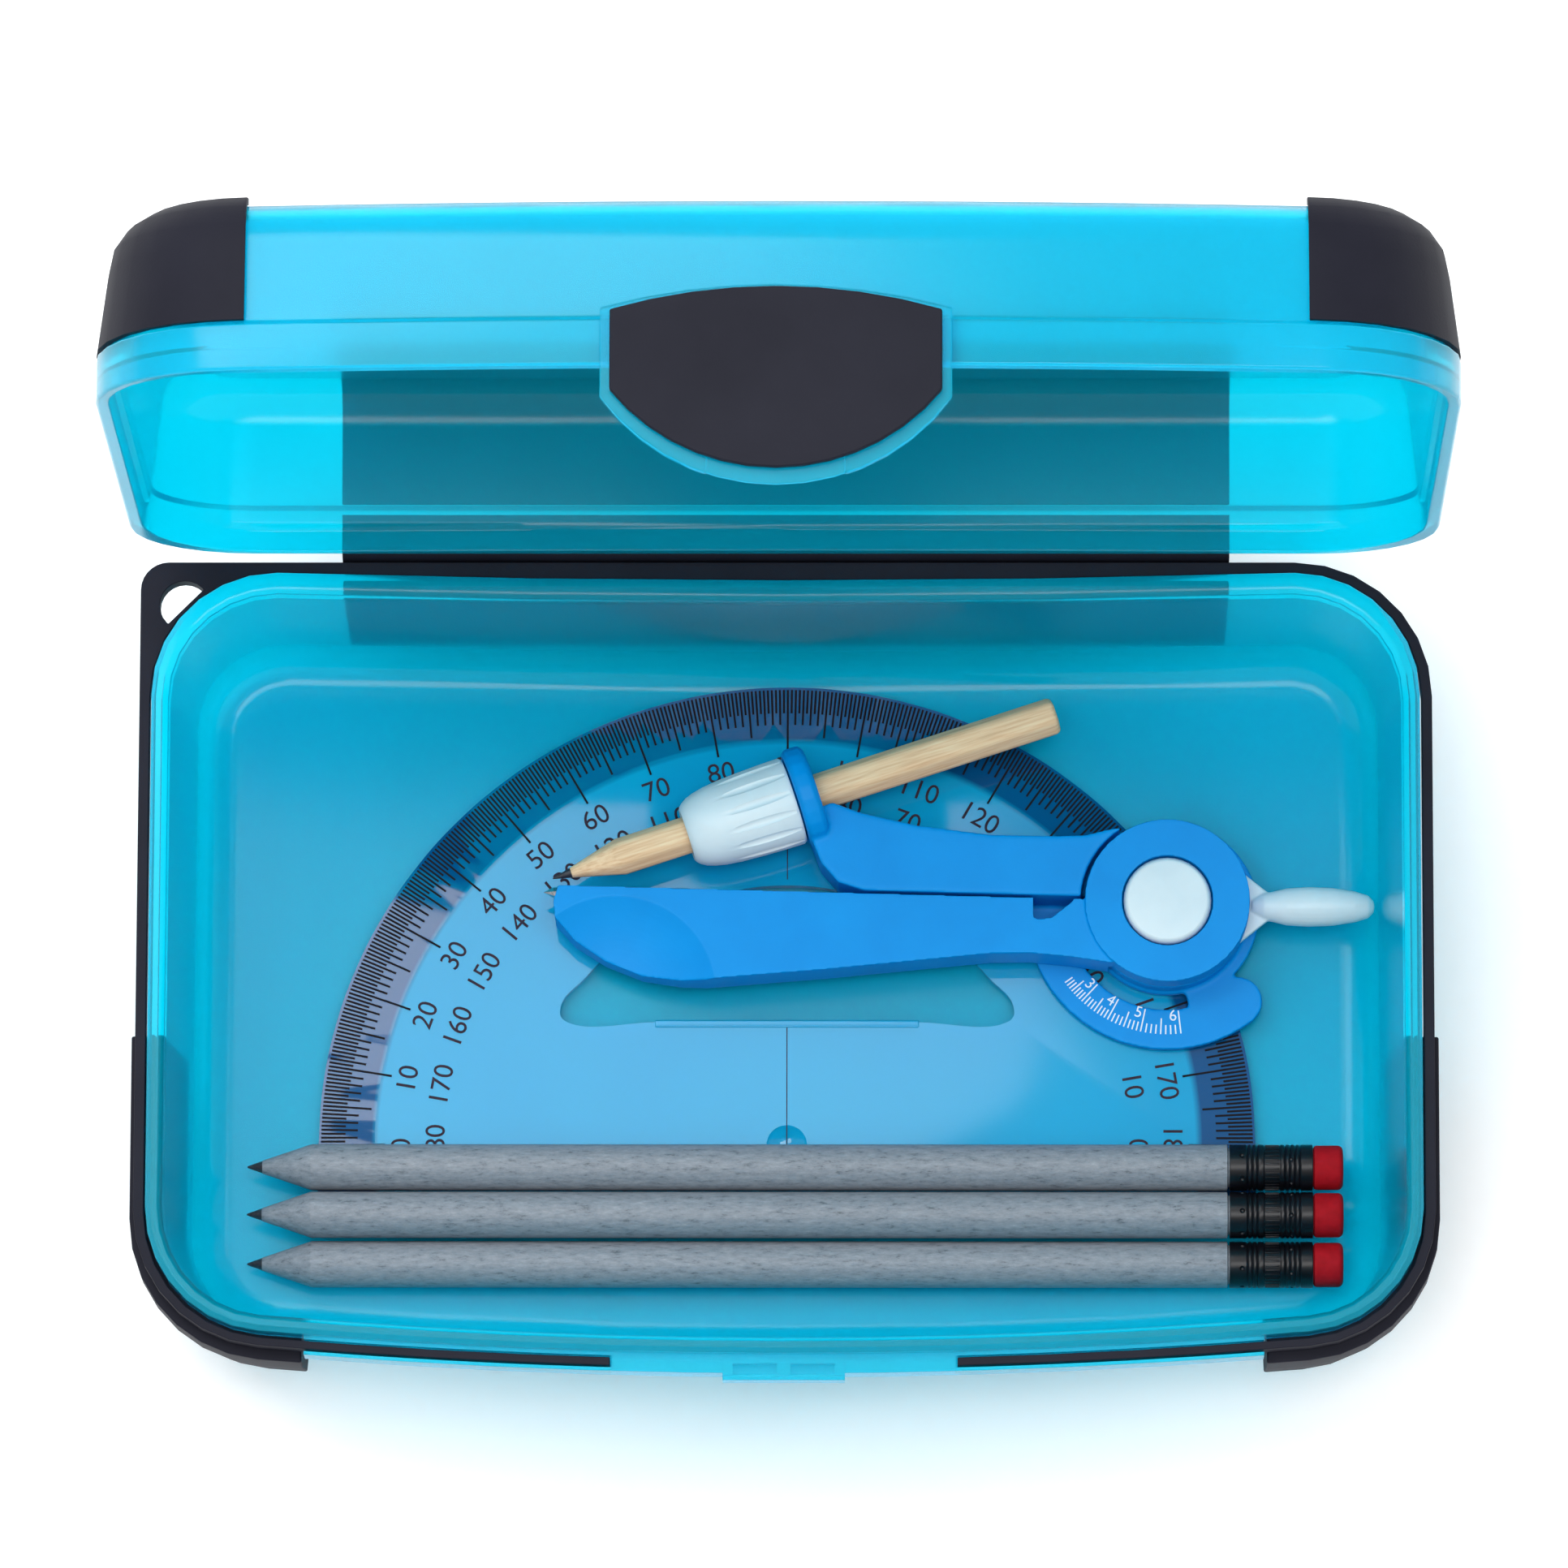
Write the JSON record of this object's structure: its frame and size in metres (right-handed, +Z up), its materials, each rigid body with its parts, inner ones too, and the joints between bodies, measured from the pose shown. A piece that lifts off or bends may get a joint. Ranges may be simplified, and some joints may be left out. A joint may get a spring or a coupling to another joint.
{
  "type": "drafting instrument case",
  "caption": "Hinged drafting instrument case with an overmoulded rim, corner guards and a latch tab, holding a protractor, a compass with its pencil, and eraser-tipped pencils.",
  "frame": {"origin": "middle of the case's flat underside, with the lid standing open at a right angle", "axes": "+X to the right along the front, +Y to the back where the hinge is, +Z up"},
  "size_m": [0.2096, 0.1637, 0.1773],
  "materials": {
    "aqua_plastic": "translucent turquoise injection-moulded polypropylene, semi-gloss",
    "black_elastomer": "black soft-touch overmoulded elastomer, matte",
    "compass_blue": "bright blue moulded plastic, fine satin texture",
    "white_plastic": "white moulded plastic, satin",
    "clear_blue": "clear tinted blue acrylic with printed scales",
    "newsprint": "rolled recycled newsprint, mottled grey, clear coated",
    "black_crimped_metal": "black lacquered ferrule, rolled rings and crimps",
    "red_eraser": "red moulded rubber, slightly dusty",
    "graphite": "sharpened graphite, soft sheen",
    "bare_wood": "bare unpainted wood, fine straight grain",
    "steel": "bright ground steel point"
  },
  "bodies": {
    "base": {"base_tub": "aqua_plastic", "rim_frame": "black_elastomer", "base_bumper_left": "black_elastomer", "base_bumper_right": "black_elastomer", "base_hinge_panel": "black_elastomer", "hinge_web": "black_elastomer"},
    "lid": {"lid_shell": "aqua_plastic", "lid_hinge_panel": "black_elastomer", "lid_corner_cap_left": "black_elastomer", "lid_corner_cap_right": "black_elastomer"},
    "latch": {"latch_tab": "aqua_plastic", "latch_grip": "black_elastomer"},
    "protractor": {"protractor": "clear_blue"},
    "pencil_1": {"pencil_1_shaft": "newsprint", "pencil_1_core": "graphite", "pencil_1_ferrule": "black_crimped_metal", "pencil_1_eraser": "red_eraser"},
    "pencil_2": {"pencil_2_shaft": "newsprint", "pencil_2_core": "graphite", "pencil_2_ferrule": "black_crimped_metal", "pencil_2_eraser": "red_eraser"},
    "pencil_3": {"pencil_3_shaft": "newsprint", "pencil_3_core": "graphite", "pencil_3_ferrule": "black_crimped_metal", "pencil_3_eraser": "red_eraser"},
    "compass": {"compass_needle_leg": "compass_blue", "compass_needle": "steel"},
    "pencil_leg": {"compass_pencil_leg": "compass_blue"},
    "handle": {"compass_handle": "white_plastic", "hub_cap_top": "white_plastic", "hub_cap_bottom": "white_plastic"},
    "clamp_nut": {"clamp_nut": "white_plastic"},
    "wood_pencil": {"wood_pencil": "bare_wood", "wood_pencil_core": "graphite"}
  },
  "joints": [
    {"name": "lid_hinge", "type": "hinge", "parent": "base", "child": "lid", "pos_m": [0, 0.067, 0.0403], "axis": [-1, 0, 0], "range_deg": [-90, 0], "deforming": ["hinge_web"]},
    {"name": "latch_flex", "type": "hinge", "parent": "lid", "child": "latch", "pos_m": [0, 0.074, 0.1739], "axis": [-1, 0, 0], "range_deg": [0, 10], "stiffness_Nm_per_rad": 0.08},
    {"name": "protractor_lift", "type": "slide", "parent": "base", "child": "protractor", "axis": [0, 0, 1], "range_m": [0, 0.06]},
    {"name": "pencil_1_lift", "type": "slide", "parent": "protractor", "child": "pencil_1", "axis": [0, 0, 1], "range_m": [0, 0.06]},
    {"name": "pencil_2_lift", "type": "slide", "parent": "protractor", "child": "pencil_2", "axis": [0, 0, 1], "range_m": [0, 0.06]},
    {"name": "pencil_3_lift", "type": "slide", "parent": "base", "child": "pencil_3", "axis": [0, 0, 1], "range_m": [0, 0.06]},
    {"name": "compass_lift", "type": "slide", "parent": "protractor", "child": "compass", "axis": [0, 0, 1], "range_m": [0, 0.06]},
    {"name": "compass_legs", "type": "hinge", "parent": "compass", "child": "pencil_leg", "pos_m": [0.0618, 0.0151, 0.012], "axis": [0, 0, 1], "range_deg": [-15, 0]},
    {"name": "handle_swivel", "type": "hinge", "parent": "compass", "child": "handle", "pos_m": [0.0618, 0.0151, 0.012], "axis": [0, 0, 1], "range_deg": [-30, 30]},
    {"name": "clamp_nut_turn", "type": "hinge", "parent": "pencil_leg", "child": "clamp_nut", "pos_m": [-0.0381, 0.0192, 0.0133], "axis": [0.9489, 0.3156, 0], "range_deg": [0, 330]},
    {"name": "wood_pencil_slide", "type": "slide", "parent": "pencil_leg", "child": "wood_pencil", "axis": [0.9489, 0.3156, 0], "range_m": [-0.001, 0.01]}
  ]
}
